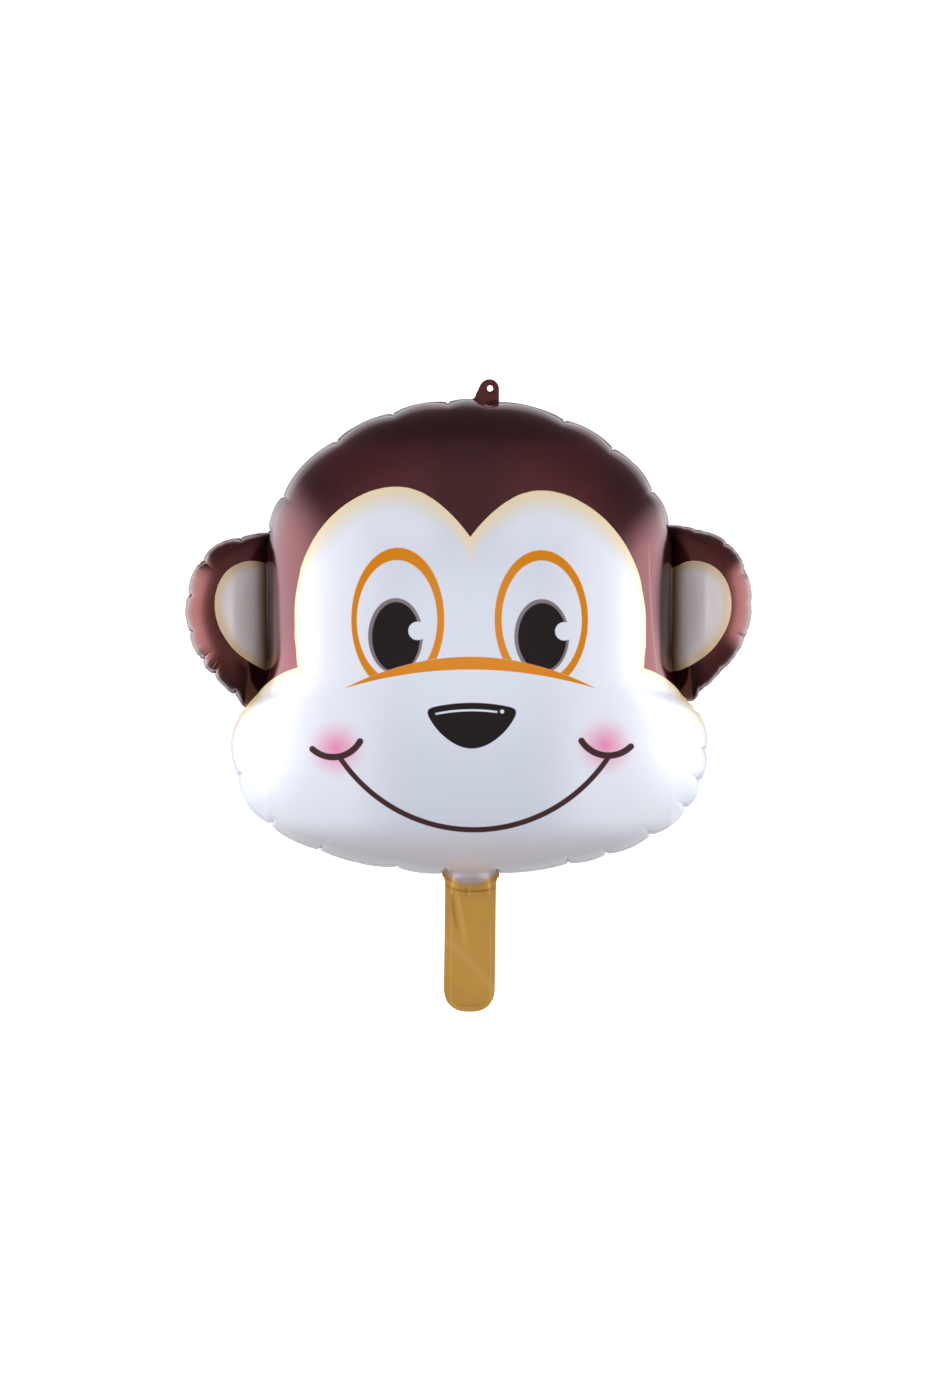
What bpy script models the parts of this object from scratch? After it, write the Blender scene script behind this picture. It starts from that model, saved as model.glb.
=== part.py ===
"""A foil balloon shaped as a monkey's head, lying on its back with its printed face up.

Two sheets of metallised film are heat-welded together along one outline. It runs round the head
and both ears, out round the hanging tab on top, and down round the inflation tail under the chin.
The head and the ears are blown up between the sheets, so the whole balloon is one solid.

Metres. +X is the right of the face as it is seen, +Y the top of the head, and +Z out of the face.
The origin is the middle of the flat spot on the back that the balloon rests on.
"""

from math import acos, asin, atan2, ceil, copysign, cos, pi, radians, sin, sqrt, tan

import bmesh
import bpy
from mathutils import Vector

# Head
HEAD_RADIUS = 0.251  # from the middle of the head up to its top edge
HEAD_DEPTH = 0.252  # front to back, blown up
REST_SPOT_RADIUS = 0.045  # flat spot on the back

# The welded edge of the head's right half, which the left half mirrors. Each station is a bearing
# in degrees, from -90 under the chin, past the cheek and the ear, to 90 on top, and the edge's
# distance from the middle of the head as a share of HEAD_RADIUS.
HEAD_EDGE = (
    (-90, 0.902),
    (-75, 0.915),
    (-62, 0.961),
    (-50, 1.022),
    (-36, 1.080),
    (-23, 1.036),
    (-14, 0.960),
    (-7, 0.870),
    (0, 0.828),
    (15, 0.865),
    (32, 0.948),
    (50, 0.995),
    (90, 1.002),
)

# Bearings where the weld gathers the film into a pucker, anticlockwise from the right ear.
HEAD_PUCKERS = (
    32, 41, 54.5, 67.5, 85.5, 95, 108, 122.5, 140.5, 149, 195, 208.5, 221,
    233, 251.5, 264, 277, 295, 304, 314.5, 324, 330.5, 337, 345,
)  # fmt: skip

# Ears
EAR_RADIUS = 0.0825
EAR_DEPTH = 0.077
RIGHT_EAR_BEARING = 12.4  # of the ear's middle, from the middle of the head
RIGHT_EAR_SINK = 0.0073  # how far the ear's middle lies inside the head's edge
LEFT_EAR_BEARING = 169.6
LEFT_EAR_SINK = 0.0055

# The ear's edge as shares of EAR_RADIUS. Bearing 0 points outwards and 90 up.
EAR_EDGE = (
    (-180, 1.02),
    (-72, 1.05),
    (-50, 1.00),
    (0, 0.975),
    (48, 1.025),
    (75, 0.98),
    (180, 1.02),
)
RIGHT_EAR_PUCKERS = (73, 48, 24, 1.5, -24, -52, -72.5)
LEFT_EAR_PUCKERS = (71.5, 40, 13.5, -14.5, -36.5, -50, -69)

# Weld round the head and the ears
WELD_WIDTH = 0.004
WELD_THICKNESS = 0.0008
SCALLOP_DEPTH = 0.0045  # how far a pucker draws the edge in
CREASE_DEPTH = 0.004  # deepest dip of the film along a pucker
CREASE_FADE = 10  # power of the distance share that keeps creases and scallops near the edge

# Hanging tab, beside the middle of the head's top edge
TAB_BEARING = 85.5
TAB_THICKNESS = 0.001
TAB_END_RADIUS = 0.0098
TAB_REACH = 0.0102  # from the head's edge out to the middle of the round end
TAB_SLANT = 26  # degrees that the left side leans out, while the right side is upright
TAB_FLARE = 0.005  # radius of the left side's fillet into the head
TAB_ROOT = 0.014  # how far the tab is carried on inside the head
TAB_HOLE_RADIUS = 0.0031
TAB_HOLE_RIGHT = 0.0008  # from the middle of the round end
TAB_HOLE_UP = 0.0006

# Inflation tail, under the chin
TAIL_WIDTH = 0.051
TAIL_LENGTH = 0.1355  # below the head's edge
TAIL_OFFSET = 0.0012  # to the right of the chin's middle
TAIL_LEAN = -0.7  # degrees, anticlockwise
TAIL_END_RADIUS = 0.025
TAIL_END_SQUARENESS = 0.83  # 1 is a round end, and less is squarer
TAIL_FLARE = 0.011  # radius of the fillets into the head
TAIL_ROOT = 0.022  # how far the tail is carried on inside the head
TAIL_WELD_WIDTH = 0.0055
TAIL_WELD_THICKNESS = 0.0012
TAIL_CHANNEL_THICKNESS = 0.0026

# Fineness of the solid
RINGS = 12  # from the pole of a blown lobe to its edge
HEAD_SPOKE_STEP = 4.5  # degrees, at most
EAR_SPOKE_STEP = 12
FEWEST_STEPS = 4  # between two puckers
ARC_STEPS = 12
MERGE_DISTANCE = 0.00001  # closes the caps of a flat outline

FILM_COLOUR = (0.09, 0.025, 0.03, 1)
FILM_ROUGHNESS = 0.3
FILM_METALLIC = 0.6


def smooth_curve(stations, place):
    """Value at a place on a smooth curve through the stations, level at both ends."""

    def slope(n):
        if n in (0, len(stations) - 1):
            return 0.0
        (before, low), (after, high) = stations[n - 1], stations[n + 1]
        return (high - low) / (after - before)

    n = max(n for n, (start, _) in enumerate(stations[:-1]) if start <= place)
    (start, first), (end, last) = stations[n], stations[n + 1]
    span = end - start
    t = (place - start) / span
    through = (1 + 2 * t) * (1 - t) ** 2 * first + t * t * (3 - 2 * t) * last
    return through + span * t * (1 - t) * ((1 - t) * slope(n) - t * slope(n + 1))


def head_edge(bearing):
    """Distance from the middle of the head to its welded edge."""
    bearing = (bearing + 90) % 360 - 90
    if bearing > 90:
        bearing = 180 - bearing
    return HEAD_RADIUS * smooth_curve(HEAD_EDGE, bearing)


def right_ear_edge(bearing):
    """Distance from the middle of the right ear to its welded edge."""
    return EAR_RADIUS * smooth_curve(EAR_EDGE, (bearing + 180) % 360 - 180)


def left_ear_edge(bearing):
    return right_ear_edge(180 - bearing)


def polar(bearing, distance):
    return Vector((cos(radians(bearing)), sin(radians(bearing)))) * distance


def spokes(puckers, widest):
    """Bearings all the way round, each with its share of the way from one pucker to the next."""
    starts = sorted(bearing % 360 for bearing in puckers)
    found = []
    for start, end in zip(starts, starts[1:] + [starts[0] + 360]):
        steps = max(FEWEST_STEPS, ceil((end - start) / widest))
        found += [(start + (end - start) * n / steps, n / steps) for n in range(steps)]
    return found


def blown_lobe(name, edge, puckers, spoke_step, depth, rest_radius=0.0):
    """A lobe of film blown up inside its weld, round the origin of the weld's plane.

    A share of the way out from the middle, s, the film stands sqrt(1 - s^3) of half the depth off
    that plane, and its outline goes from round to that of the edge. Returns the object and the
    height of the weld above the flat spot on its back.
    """
    rays = spokes(puckers, spoke_step)
    mean = sum(edge(bearing) for bearing in range(360)) / 360 - WELD_WIDTH
    first_turn = asin(rest_radius / mean) if rest_radius else pi / 2 / (RINGS - 1)
    turn_step = (pi / 2 - first_turn) / (RINGS - 2)
    rest_height = depth / 2 * sqrt(1 - sin(first_turn) ** 3) if rest_radius else depth

    shape = bmesh.new()
    bmesh.ops.create_uvsphere(shape, u_segments=len(rays), v_segments=2 * RINGS, radius=1)
    for vert in shape.verts:
        x, y, z = vert.co
        bearing, between = rays[round(atan2(y, x) / (2 * pi) * len(rays)) % len(rays)]
        ring = round(acos(min(1.0, abs(z))) / (pi / 2) * RINGS)
        pinch = 1 - sqrt(sin(pi * between))
        if ring == RINGS:
            out, height = edge(bearing) - SCALLOP_DEPTH * pinch, 0.0
        else:
            share = sin(first_turn + turn_step * (ring - 1)) if ring else 0.0
            reach = mean + (edge(bearing) - WELD_WIDTH - mean) * share**2
            near_edge = share**CREASE_FADE
            out = share * reach - SCALLOP_DEPTH * pinch * near_edge
            height = depth / 2 * sqrt(1 - min(1.0, share) ** 3)
            height -= CREASE_DEPTH * pinch * 4 * near_edge * (1 - near_edge)
            height = max(height, WELD_THICKNESS / 2)
        vert.co.xy = polar(bearing, out)
        vert.co.z = height if z > 0 else -min(height, rest_height)

    mesh = bpy.data.meshes.new(name)
    shape.to_mesh(mesh)
    shape.free()
    return bpy.data.objects.new(name, mesh), rest_height


def arc(middle, radius, start, end, squareness=1.0):
    """Points along an arc between two bearings; a squareness under 1 fills out its corners."""
    points = []
    for n in range(ARC_STEPS + 1):
        angle = radians(start + (end - start) * n / ARC_STEPS)
        across, up = (copysign(abs(way) ** squareness, way) for way in (cos(angle), sin(angle)))
        points.append((middle[0] + radius * across, middle[1] + radius * up))
    return points


def flat_film(name, outlines, thickness):
    """Film cut flat to the first outline, with any further outlines as holes."""
    curve = bpy.data.curves.new(name, "CURVE")
    curve.dimensions = "2D"
    curve.fill_mode = "BOTH"
    curve.extrude = thickness / 2
    for outline in outlines:
        line = curve.splines.new("POLY")
        line.points.add(len(outline) - 1)
        line.use_cyclic_u = True
        for point, (x, y) in zip(line.points, outline):
            point.co = (x, y, 0, 1)
    drawn = bpy.data.objects.new(name, curve)
    bpy.context.scene.collection.objects.link(drawn)
    mesh = bpy.data.meshes.new_from_object(drawn.evaluated_get(bpy.context.evaluated_depsgraph_get()))
    bpy.data.objects.remove(drawn)

    shape = bmesh.new()
    shape.from_mesh(mesh)
    bmesh.ops.remove_doubles(shape, verts=shape.verts, dist=MERGE_DISTANCE)
    bmesh.ops.recalc_face_normals(shape, faces=shape.faces)
    shape.to_mesh(mesh)
    shape.free()
    return bpy.data.objects.new(name, mesh)


def hanging_tab():
    """The tab: a round end on an upright right side and a slanting left side, round a hole."""
    at_edge = polar(TAB_BEARING, head_edge(TAB_BEARING))
    end_middle = at_edge + Vector((0, TAB_REACH))
    outline = arc(end_middle, TAB_END_RADIUS, 0, 180 - TAB_SLANT)
    slant_x, slant_y = outline[-1]
    flare_y = at_edge.y + TAB_FLARE
    flare_x = slant_x - (slant_y - flare_y) * tan(radians(TAB_SLANT)) - TAB_FLARE
    outline += arc((flare_x, flare_y), TAB_FLARE, 0, -90)
    outline.append((flare_x, at_edge.y - TAB_ROOT))
    outline.append((end_middle.x + TAB_END_RADIUS, at_edge.y - TAB_ROOT))
    hole_middle = end_middle + Vector((TAB_HOLE_RIGHT, TAB_HOLE_UP))
    hole = arc(hole_middle, TAB_HOLE_RADIUS, 0, 180) + arc(hole_middle, TAB_HOLE_RADIUS, 180, 360)[1:-1]
    return flat_film("Hanging tab", (outline, hole), TAB_THICKNESS)


def tail_outline(inset, flare):
    """The tail's outline, drawn with the head's edge at y = 0, inset all round."""
    half = TAIL_WIDTH / 2 - inset
    end_radius = TAIL_END_RADIUS - inset
    end_middle = TAIL_END_RADIUS - TAIL_LENGTH
    side = [(half + flare, TAIL_ROOT)]
    if flare:
        side += arc((half + flare, -flare), flare, 90, 180)
    end = arc((0, 0), end_radius, 0, -180, TAIL_END_SQUARENESS)
    end = [(x * half / end_radius, end_middle + y) for x, y in end]
    return side + end + [(-x, y) for x, y in reversed(side)]


def tail_shapes():
    """The tail's welded edge, and the channel between its welds that the gas goes in by."""
    edge = flat_film("Tail weld", (tail_outline(0.0, TAIL_FLARE),), TAIL_WELD_THICKNESS)
    channel = flat_film("Tail channel", (tail_outline(TAIL_WELD_WIDTH, 0.0),), TAIL_CHANNEL_THICKNESS)
    for shape in (edge, channel):
        shape.location.xy = (TAIL_OFFSET, -head_edge(-90))
        shape.rotation_euler.z = radians(TAIL_LEAN)
    return [edge, channel]


def ear_shapes():
    """Both ears, with their middles just inside the head's edge."""
    ears = []
    for name, edge, puckers, bearing, sink in (
        ("Right ear", right_ear_edge, RIGHT_EAR_PUCKERS, RIGHT_EAR_BEARING, RIGHT_EAR_SINK),
        ("Left ear", left_ear_edge, [180 - b for b in LEFT_EAR_PUCKERS], LEFT_EAR_BEARING, LEFT_EAR_SINK),
    ):
        ear, _ = blown_lobe(name, edge, puckers, EAR_SPOKE_STEP, EAR_DEPTH)
        ear.location.xy = polar(bearing, head_edge(bearing) - sink)
        ears.append(ear)
    return ears


def film_material():
    material = bpy.data.materials.new("Printed foil")
    material.use_nodes = True
    shader = material.node_tree.nodes["Principled BSDF"]
    shader.inputs["Base Color"].default_value = FILM_COLOUR
    shader.inputs["Roughness"].default_value = FILM_ROUGHNESS
    shader.inputs["Metallic"].default_value = FILM_METALLIC
    return material


def build():
    for old in list(bpy.data.objects):
        bpy.data.objects.remove(old)
    balloon = bpy.data.collections.new("Monkey head balloon")
    joined = bpy.data.collections.new("Shapes joined to the head")
    bpy.context.scene.collection.children.link(balloon)
    bpy.context.scene.collection.children.link(joined)

    film, weld_height = blown_lobe(
        "foil_envelope", head_edge, HEAD_PUCKERS, HEAD_SPOKE_STEP, HEAD_DEPTH, REST_SPOT_RADIUS
    )
    balloon.objects.link(film)
    film.location.z = weld_height
    for shape in [*ear_shapes(), hanging_tab(), *tail_shapes()]:
        joined.objects.link(shape)
        shape.location.z = weld_height
        shape.hide_render = True
        shape.display_type = "WIRE"
        union = film.modifiers.new(shape.name, "BOOLEAN")
        union.operation = "UNION"
        union.solver = "EXACT"
        union.object = shape
    film.data.materials.append(film_material())
    film.data.shade_smooth()


build()
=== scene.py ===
"""The looks of a monkey head foil balloon that lies on its back on a pale floor."""

from math import ceil, cos, pi, radians, sin, sqrt, tan

import bpy
import numpy as np
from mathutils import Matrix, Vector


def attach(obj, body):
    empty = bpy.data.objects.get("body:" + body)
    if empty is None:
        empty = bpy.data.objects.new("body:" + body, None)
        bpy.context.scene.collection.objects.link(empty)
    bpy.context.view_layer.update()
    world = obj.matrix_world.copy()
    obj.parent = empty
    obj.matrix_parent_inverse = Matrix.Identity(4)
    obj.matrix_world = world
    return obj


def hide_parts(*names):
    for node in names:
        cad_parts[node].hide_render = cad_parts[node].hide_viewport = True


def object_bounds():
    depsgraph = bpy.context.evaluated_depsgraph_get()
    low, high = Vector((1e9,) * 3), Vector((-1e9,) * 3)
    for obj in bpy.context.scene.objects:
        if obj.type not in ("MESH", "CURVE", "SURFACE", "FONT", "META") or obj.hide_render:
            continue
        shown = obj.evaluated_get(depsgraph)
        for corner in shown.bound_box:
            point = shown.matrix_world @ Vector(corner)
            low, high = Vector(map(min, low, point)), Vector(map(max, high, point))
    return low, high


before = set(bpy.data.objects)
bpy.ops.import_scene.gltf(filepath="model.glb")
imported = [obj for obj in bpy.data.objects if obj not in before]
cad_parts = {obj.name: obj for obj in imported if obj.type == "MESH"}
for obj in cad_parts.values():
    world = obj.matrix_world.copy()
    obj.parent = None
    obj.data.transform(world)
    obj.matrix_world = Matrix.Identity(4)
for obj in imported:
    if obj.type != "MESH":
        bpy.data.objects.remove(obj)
solid_low, solid_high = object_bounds()

# The view. The balloon lies face up, so the camera looks straight down on it from high above, the
# way up that a print on a wall has.
HALF_DEPTH = 0.126  # from the weld to the front of the face
CAMERA_HEIGHT = 5.25  # above the weld
CAMERA_PLACE = (-0.003, -0.050)
LENS = 135
FARTHEST_SEEN = 20

weld_height = solid_high[2] - HALF_DEPTH
bpy.ops.object.select_all(action="DESELECT")
bpy.ops.object.camera_add(location=(*CAMERA_PLACE, weld_height + CAMERA_HEIGHT), rotation=(0, 0, 0))
camera = bpy.context.object
camera.data.lens = LENS
camera.data.clip_end = FARTHEST_SEEN
bpy.context.scene.camera = camera
bpy.context.scene.view_settings.view_transform = "Standard"

# The floor and the light. A matt white floor inside a white backdrop, one lamp high above and one low
# on either side. The film mirrors a dim room with a broad pale wall on either side, which draws the
# bright bands down both sides of the head and round the ears.
FLOOR_SIZE = 12.0
FLOOR_DROP = 0.0002  # keeps it clear of the flat spot that the balloon rests on
FLOOR_COLOUR = (0.9, 0.9, 0.9, 1)
FLOOR_ROUGHNESS = 0.9
FLOOR_GLOW = 0.55
BACKDROP_RADIUS = 6.6
BACKDROP_SEGMENTS, BACKDROP_RINGS = 64, 32
BACKDROP_GLOW = 1.0
TOP_LIGHT_SIZE = 3.0
TOP_LIGHT_HEIGHT = 7.0
TOP_LIGHT_POWER = 252.0
SIDE_LIGHT_SIZE = 3.0
SIDE_LIGHT_PLACE = (4.0, 1.0)  # how far aside and how high
SIDE_LIGHT_TILT = 80  # degrees away from facing straight down
SIDE_LIGHT_POWER = 105.0
SIDE_LIGHT_COLOUR = (1.0, 0.98, 0.92)
ROOM_COLOUR = (0.99, 0.98, 1.03, 1)
ROOM_LIGHT = (
    (-1.0, 0.55),
    (-0.90, 0.48),
    (-0.80, 0.42),
    (-0.73, 0.36),
    (-0.65, 0.13),
    (-0.50, 0.09),
    (0.0, 0.072),
    (0.30, 0.105),
    (0.65, 0.175),
    (1.0, 0.185),
)
WALL_LIGHT = (
    (-1.0, 0.0),
    (-0.92, 0.25),
    (-0.75, 0.90),
    (-0.50, 1.45),
    (0.0, 1.60),
    (0.25, 1.40),
    (0.45, 0.75),
    (0.65, 0.15),
    (0.80, 0.0),
    (1.0, 0.0),
)  # how bright it looks by the height of the way looked, from straight down to straight up
LEFT_WALL_EDGE = (0.748, 0.945)  # how far aside the way looked is where a wall begins and is full
RIGHT_WALL_EDGE = (0.837, 0.965)


class Amount:
    """A number that the material works out at each point, from others by plain arithmetic."""

    def __init__(self, tree, socket):
        self.tree, self.socket = tree, socket

    def work(self, operation, *others, clamp=False):
        node = self.tree.nodes.new("ShaderNodeMath")
        node.operation = operation
        node.use_clamp = clamp
        for value, entry in zip((self, *others), node.inputs):
            if isinstance(value, Amount):
                self.tree.links.new(value.socket, entry)
            else:
                entry.default_value = value
        return Amount(self.tree, node.outputs[0])

    def __add__(self, other):
        return self.work("ADD", other)

    def __sub__(self, other):
        return self.work("SUBTRACT", other)

    def __rsub__(self, other):
        return (self * -1) + other

    def __mul__(self, other):
        return self.work("MULTIPLY", other)

    def __truediv__(self, other):
        return self.work("DIVIDE", other)

    def __pow__(self, other):
        return self.work("POWER", other)

    __radd__, __rmul__ = __add__, __mul__

    def size(self):
        return self.work("ABSOLUTE")

    def least(self, other):
        return self.work("MINIMUM", other)

    def most(self, other):
        return self.work("MAXIMUM", other)

    def cover(self, softness=0.7):
        """1 where the depth inside an outline is over 0, and 0 outside, with a soft edge."""
        return self.work("MULTIPLY_ADD", 1 / softness, 0.5, clamp=True)

    def fade(self, start, end):
        """From 0 at start to 1 at end, smoothly."""
        node = self.tree.nodes.new("ShaderNodeMapRange")
        node.interpolation_type = "SMOOTHSTEP"
        self.tree.links.new(self.socket, node.inputs["Value"])
        node.inputs["From Min"].default_value = start
        node.inputs["From Max"].default_value = end
        return Amount(self.tree, node.outputs[0])

    def curve(self, stations):
        """The level at this place on a smooth curve through (place, level) stations."""
        first, last = stations[0][0], stations[-1][0]
        top = max(level for _, level in stations)
        bottom = min(level for _, level in stations)
        node = self.tree.nodes.new("ShaderNodeFloatCurve")
        points = node.mapping.curves[0].points
        while len(points) < len(stations):
            points.new(0.5, 0.5)
        for point, (place, level) in zip(points, stations):
            point.location = ((place - first) / (last - first), (level - bottom) / (top - bottom))
        node.mapping.update()
        share = self.work("SUBTRACT", first) / (last - first)
        self.tree.links.new(share.socket, node.inputs["Value"])
        return Amount(self.tree, node.outputs[0]) * (top - bottom) + bottom


bpy.ops.mesh.primitive_plane_add(size=FLOOR_SIZE, location=(0, 0, -FLOOR_DROP))
floor = bpy.context.object
floor.name = "floor"
floor_paint = bpy.data.materials.new("floor paint")
floor_paint.use_nodes = True
paint = floor_paint.node_tree.nodes["Principled BSDF"]
paint.inputs["Base Color"].default_value = FLOOR_COLOUR
paint.inputs["Roughness"].default_value = FLOOR_ROUGHNESS
paint.inputs["Emission Color"].default_value = (1, 1, 1, 1)
paint.inputs["Emission Strength"].default_value = FLOOR_GLOW
floor.data.materials.append(floor_paint)
floor.visible_glossy = False

bpy.ops.mesh.primitive_uv_sphere_add(
    segments=BACKDROP_SEGMENTS, ring_count=BACKDROP_RINGS, radius=BACKDROP_RADIUS
)
backdrop = bpy.context.object
backdrop.name = "backdrop"
backdrop_paint = bpy.data.materials.new("backdrop paint")
backdrop_paint.use_nodes = True
paint = backdrop_paint.node_tree.nodes["Principled BSDF"]
paint.inputs["Base Color"].default_value = (0, 0, 0, 1)
paint.inputs["Emission Color"].default_value = (1, 1, 1, 1)
paint.inputs["Emission Strength"].default_value = BACKDROP_GLOW
backdrop.data.materials.append(backdrop_paint)
backdrop.visible_diffuse = backdrop.visible_glossy = backdrop.visible_shadow = False

bpy.ops.object.light_add(type="AREA", location=(0, 0, TOP_LIGHT_HEIGHT), rotation=(0, 0, 0))
top_light = bpy.context.object
top_light.data.size = TOP_LIGHT_SIZE
top_light.data.energy = TOP_LIGHT_POWER
top_light.visible_camera = False
top_light.visible_glossy = False

for side in (-1, 1):
    place = (side * SIDE_LIGHT_PLACE[0], 0, SIDE_LIGHT_PLACE[1])
    tilt = side * radians(SIDE_LIGHT_TILT)
    bpy.ops.object.light_add(type="AREA", location=place, rotation=(0, tilt, 0))
    side_light = bpy.context.object
    side_light.data.size = SIDE_LIGHT_SIZE
    side_light.data.energy = SIDE_LIGHT_POWER
    side_light.data.color = SIDE_LIGHT_COLOUR
    side_light.visible_camera = False
    side_light.visible_glossy = False

room = bpy.data.worlds.new("room")
room.use_nodes = True
bpy.context.scene.world = room
sky = room.node_tree.nodes["Background"]
way = room.node_tree.nodes.new("ShaderNodeTexCoord")
parts = room.node_tree.nodes.new("ShaderNodeSeparateXYZ")
room.node_tree.links.new(way.outputs["Generated"], parts.inputs[0])
across = Amount(room.node_tree, parts.outputs["X"])
height = Amount(room.node_tree, parts.outputs["Z"])
aside = across / (1 - height**2) ** 0.5
walls = (aside * -1).fade(*LEFT_WALL_EDGE) + aside.fade(*RIGHT_WALL_EDGE)
glow = height.curve(ROOM_LIGHT) + height.curve(WALL_LIGHT) * walls
sky.inputs["Color"].default_value = ROOM_COLOUR
room.node_tree.links.new(glow.socket, sky.inputs["Strength"])

# The blown bag. Two sheets of thin metallised film are welded together along one outline, round
# the head and both ears. The gas blows them apart, and the weld, which can't get shorter, gathers
# into puckers that run a little way in over the film.
HEAD_RADIUS = 0.251
HEAD_EDGE = (
    (-90, 0.902),
    (-75, 0.915),
    (-62, 0.961),
    (-50, 1.022),
    (-36, 1.080),
    (-23, 1.036),
    (-15.5, 0.958),
    (-12, 0.880),
    (-7, 0.832),
    (0, 0.812),
    (15, 0.850),
    (32, 0.948),
    (50, 0.995),
    (90, 1.002),
)
HEAD_PUCKERS = (
    32, 41, 54.5, 67.5, 85.5, 95, 108, 122.5, 140.5, 149, 195, 208.5, 221,
    233, 251.5, 264, 277, 295, 304, 314.5, 324, 330.5, 337, 345,
)  # fmt: skip
EAR_RADIUS = 0.0825
HALF_EAR_DEPTH = 0.0385
BLOWN_POWER = 3  # of the share of the way out, in the fall of the film from its pole to the weld
EAR_EDGE = (
    (-180, 1.02),
    (-95, 1.08),
    (-78, 1.19),
    (-70, 1.09),
    (-50, 1.00),
    (0, 0.975),
    (48, 1.025),
    (75, 0.98),
    (180, 1.02),
)
EARS = (
    ("right_ear", (0.2025, 0.0445), (0.0014, 0.016, 0.0014), (73, 48, 24, 1.5, -24, -52, -72.5)),
    ("left_ear", (-0.2040, 0.0374), (0.0036, 0.016, 0.0034), (108.5, 140, 166.5, 194.5, 216.5, 230, 249)),
)  # name, middle, depth and reach of its scallops and depth of its creases, puckers
WELD_WIDTH = 0.0012  # as seen from the front, because the blown film folds it back
WELD_FOLD = 0.0034  # how far its edge lies behind the middle of the balloon
WELD_HALF_THICKNESS = 0.00015
WELD_RINGS = 4
WELD_WAVE = 0.0004
WELD_WAVE_TURNS = (17, 29, 43)
RING_CROWDING = 1.4  # packs the rings closer towards the edge
HEAD_RINGS, EAR_RINGS = 54, 30
HEAD_SPOKE_GAP, EAR_SPOKE_GAP = 0.0030, 0.0014
SPOKE_CROWDING = 0.7  # packs the spokes closer towards a pucker
FEWEST_SPOKES = 8  # between two puckers
HEAD_GATHERS = (0.0058, 0.028, 0.0046)  # depth and reach of its scallops, and depth of its creases
SCALLOP_AT_WELD, SCALLOP_RISE = 0.48, 0.010  # share of its depth at the weld, and where it is full
CREASE_AT_WELD, CREASE_RISE = 0.40, 0.004
CREASE_REACH = 0.0085  # of a pucker
CREASE_REACH_SPREAD = (0.7, 1.4)
LOWER_CREASE_GAIN = 2  # how many times as far it runs in the lower half of the head
CREASE_WIDTH = 0.0025
CREASE_SPLAY = 0.5  # share of its width that it gains over its reach
CREASE_POWER, CREASE_FADE_POWER = 1.6, 1.5
PINCH_POWER = 0.7
JOWL_FOLDS = (
    (-13.4, 0.005, 0.012, 0.0030),
    (-14.6, 0.003, 0.009, 0.0025),
)  # bearing, depth, reach and width
HEAD_CRIMPS, EAR_CRIMPS = (0, 3), (6, 12)  # fewest and one over the most, between two puckers
CRIMP_CROWDING = 0.6  # under 1 gathers them near the puckers
CRIMP_DEPTH = (0.0007, 0.0017)
CRIMP_REACH = (0.005, 0.010)
CRIMP_WIDTH = (0.0017, 0.0028)
CRIMP_SEED = 7
VALLEY_PLACE = 0.200  # the film dips where an ear meets the head
VALLEY_WIDTH = 0.038
VALLEY_DEPTH = 0.55  # share of the ear's height that is gone there
VALLEY_POWER = 1.4
FILM_SMOOTH_ANGLE = 50


def smooth_curve(stations, place):
    """Value at a place on a smooth curve through the stations, level at both ends."""

    def slope(n):
        if n in (0, len(stations) - 1):
            return 0.0
        (before, low), (after, high) = stations[n - 1], stations[n + 1]
        return (high - low) / (after - before)

    n = max(n for n, (start, _) in enumerate(stations[:-1]) if start <= place)
    (start, first), (end, last) = stations[n], stations[n + 1]
    span = end - start
    t = (place - start) / span
    through = (1 + 2 * t) * (1 - t) ** 2 * first + t * t * (3 - 2 * t) * last
    return through + span * t * (1 - t) * ((1 - t) * slope(n) - t * slope(n + 1))


def head_edge(bearing):
    bearing = (bearing + 90) % 360 - 90
    if bearing > 90:
        bearing = 180 - bearing
    return HEAD_RADIUS * smooth_curve(HEAD_EDGE, bearing)


def right_ear_edge(bearing):
    return EAR_RADIUS * smooth_curve(EAR_EDGE, (bearing + 180) % 360 - 180)


def left_ear_edge(bearing):
    return right_ear_edge(180 - bearing)


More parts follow.
